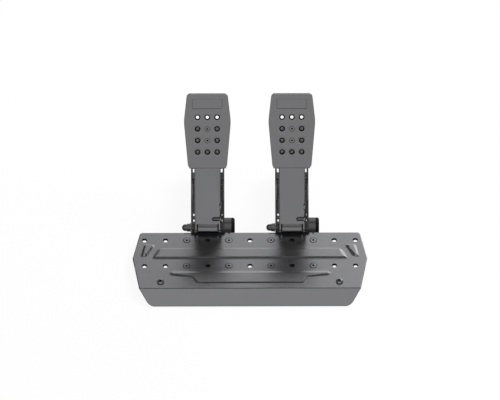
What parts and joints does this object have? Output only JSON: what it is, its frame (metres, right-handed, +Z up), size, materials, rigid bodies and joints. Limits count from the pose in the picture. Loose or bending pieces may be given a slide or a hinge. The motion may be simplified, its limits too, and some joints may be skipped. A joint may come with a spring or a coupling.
{
  "type": "sim racing pedal set",
  "caption": "Floor-standing brake and throttle pedal set for a driving simulator: leaning hinged arms with sprung rods on a bent heel plate with rows of mounting holes.",
  "frame": {"origin": "floor point under the centre of the set's box", "axes": "+X to the driver's right, +Y away from the driver, +Z up"},
  "size_m": [0.3332, 0.262, 0.2081],
  "materials": {
    "powder_coat": "fine satin black powder coat",
    "anodised_face": "bead-blasted black anodised",
    "black_steel": "black oxide",
    "zinc_steel": "zinc plated",
    "bronze": "sintered bronze",
    "black_plastic": "moulded, fine texture",
    "board": "solder mask",
    "rubber": "moulded",
    "spring_coat": "black epoxy coat"
  },
  "bodies": {
    "base": {"heel_plate": "powder_coat", "plate_screws": "powder_coat", "plate_nuts": "zinc_steel", "front_feet": "rubber", "front_foot_screws": "black_steel", "rear_feet": "rubber", "pivot_bushes": "bronze", "brace_tubes": "black_steel", "brace_screws": "black_steel", "sensor_screws": "zinc_steel", "sensor_sockets": "black_plastic", "brake_bracket": "black_steel", "brake_sensor_housing": "black_plastic", "brake_sensor_lid": "black_plastic", "brake_sensor_board": "board", "throttle_bracket": "black_steel", "throttle_sensor_housing": "black_plastic", "throttle_sensor_lid": "black_plastic", "throttle_sensor_board": "board"},
    "brake_lever": {"brake_arm": "powder_coat", "brake_face": "anodised_face", "brake_face_screws": "anodised_face", "brake_face_nuts": "zinc_steel", "brake_axle": "zinc_steel", "brake_axle_magnet": "zinc_steel", "brake_dome_nut": "black_steel", "brake_thrust_washer": "bronze", "brake_pivot_sleeve": "black_steel", "brake_drive_clip": "powder_coat", "brake_rod_pin": "black_steel", "brake_pin_spacers": "black_steel"},
    "brake_push_rod": {"brake_rod": "zinc_steel", "brake_preload_nut": "black_steel", "brake_spring": "spring_coat", "brake_stop_nut": "zinc_steel"},
    "brake_swivel": {"brake_trunnion": "black_steel", "brake_trunnion_bolts": "zinc_steel", "brake_spring_seat": "zinc_steel"},
    "throttle_lever": {"throttle_arm": "powder_coat", "throttle_face": "anodised_face", "throttle_face_screws": "anodised_face", "throttle_face_nuts": "zinc_steel", "throttle_axle": "zinc_steel", "throttle_axle_magnet": "zinc_steel", "throttle_dome_nut": "black_steel", "throttle_thrust_washer": "bronze", "throttle_pivot_sleeve": "black_steel", "throttle_drive_clip": "powder_coat", "throttle_rod_pin": "black_steel", "throttle_pin_spacers": "black_steel"},
    "throttle_push_rod": {"throttle_rod": "zinc_steel", "throttle_preload_nut": "black_steel", "throttle_spring": "spring_coat", "throttle_stop_nut": "zinc_steel"},
    "throttle_swivel": {"throttle_trunnion": "black_steel", "throttle_trunnion_bolts": "zinc_steel", "throttle_spring_seat": "zinc_steel"}
  },
  "joints": [
    {"name": "brake_press", "type": "hinge", "parent": "base", "child": "brake_lever", "pos_m": [-0.06, 0.00678, 0.02], "axis": [-1, 0, 0], "range_deg": [0, 14], "stiffness_Nm_per_rad": 70, "springref_deg": -3.44, "deforming": ["brake_spring"]},
    {"name": "brake_rod_swing", "type": "hinge", "parent": "brake_lever", "child": "brake_push_rod", "pos_m": [-0.06, 0.03202, 0.06321], "axis": [-1, 0, 0], "range_deg": [-17.6, 0]},
    {"name": "brake_swivel_turn", "type": "hinge", "parent": "base", "child": "brake_swivel", "pos_m": [-0.06, 0.11278, 0.039], "axis": [-1, 0, 0], "range_deg": [-3.6, 0]},
    {"name": "throttle_press", "type": "hinge", "parent": "base", "child": "throttle_lever", "pos_m": [0.06, 0.00678, 0.02], "axis": [-1, 0, 0], "range_deg": [0, 20], "stiffness_Nm_per_rad": 9, "springref_deg": -11.46, "deforming": ["throttle_spring"]},
    {"name": "throttle_rod_swing", "type": "hinge", "parent": "throttle_lever", "child": "throttle_push_rod", "pos_m": [0.06, 0.03202, 0.06321], "axis": [-1, 0, 0], "range_deg": [-25.7, 0]},
    {"name": "throttle_swivel_turn", "type": "hinge", "parent": "base", "child": "throttle_swivel", "pos_m": [0.06, 0.11278, 0.039], "axis": [-1, 0, 0], "range_deg": [-5.7, 0]}
  ],
  "couplings": [
    {"joint": "brake_rod_swing", "follows": "brake_press", "ratio": -1.222},
    {"joint": "brake_swivel_turn", "follows": "brake_press", "ratio": -0.222},
    {"joint": "throttle_rod_swing", "follows": "throttle_press", "ratio": -1.261},
    {"joint": "throttle_swivel_turn", "follows": "throttle_press", "ratio": -0.261}
  ]
}
